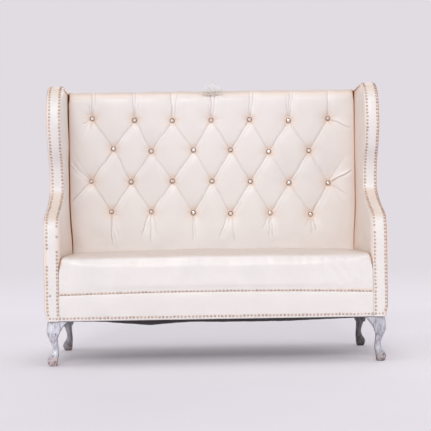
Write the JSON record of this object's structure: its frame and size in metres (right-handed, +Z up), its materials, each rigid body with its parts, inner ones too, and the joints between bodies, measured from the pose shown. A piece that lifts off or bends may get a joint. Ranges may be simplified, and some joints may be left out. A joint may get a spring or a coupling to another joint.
{
  "type": "high back settee",
  "caption": "High back settee with wings, a diamond-tufted back, a sprung bench seat, nail trim, a pierced crest and cabriole legs.",
  "frame": {"origin": "on the floor under the middle of the settee's box", "axes": "+X to the right as seen from the front, +Y to the back, +Z up"},
  "size_m": [1.5, 0.7236, 1.299],
  "materials": {
    "leather": "satin",
    "timber": "matte",
    "foam": "matte",
    "webbing": "matte",
    "spring_steel": "satin",
    "nail_metal": "polished",
    "crystal_button": "polished",
    "leg_paint": "satin",
    "black_cloth": "matte",
    "crest_silver": "satin"
  },
  "bodies": {
    "root": {"front_seat_rail": "timber", "back_seat_rail": "timber", "centre_seat_brace": "timber", "back_top_rail": "timber", "back_lower_rail": "timber", "back_centre_post": "timber", "arm_post_left": "timber", "arm_post_right": "timber", "side_seat_rail_left": "timber", "side_seat_rail_right": "timber", "arm_rail_left": "timber", "arm_rail_right": "timber", "wing_board_left": "timber", "wing_board_right": "timber", "wing_top_rail_left": "timber", "wing_top_rail_right": "timber", "back_post_left": "timber", "back_post_right": "timber", "front_corner_block_left": "timber", "front_corner_block_right": "timber", "back_corner_block_left": "timber", "back_corner_block_right": "timber", "seat_spring_unit": "spring_steel", "seat_deck": "webbing", "back_webbing_1": "webbing", "back_webbing_2": "webbing", "back_webbing_3": "webbing", "back_webbing_4": "webbing", "seat_foam": "foam", "back_foam": "foam", "seat_cover": "leather", "front_band": "leather", "back_cover": "leather", "outer_back_cover": "leather", "outer_side_cover_left": "leather", "outer_side_cover_right": "leather", "inner_side_pad_left": "leather", "inner_side_pad_right": "leather", "front_panel_left": "leather", "front_panel_right": "leather", "button_row_1": "crystal_button", "button_row_2": "crystal_button", "button_row_3": "crystal_button", "button_row_4": "crystal_button", "nail_strip_band": "nail_metal", "nail_strip_base": "nail_metal", "nail_strip_inner_left": "nail_metal", "nail_strip_inner_right": "nail_metal", "nail_strip_outer_left": "nail_metal", "nail_strip_outer_right": "nail_metal", "front_leg_left": "leg_paint", "front_leg_right": "leg_paint", "back_leg_left": "leg_paint", "back_leg_right": "leg_paint", "dust_cover": "black_cloth", "crest_ornament": "crest_silver", "crest_bracket": "crest_silver", "crest_screw_left": "crest_silver", "crest_screw_right": "crest_silver"}
  },
  "joints": []
}
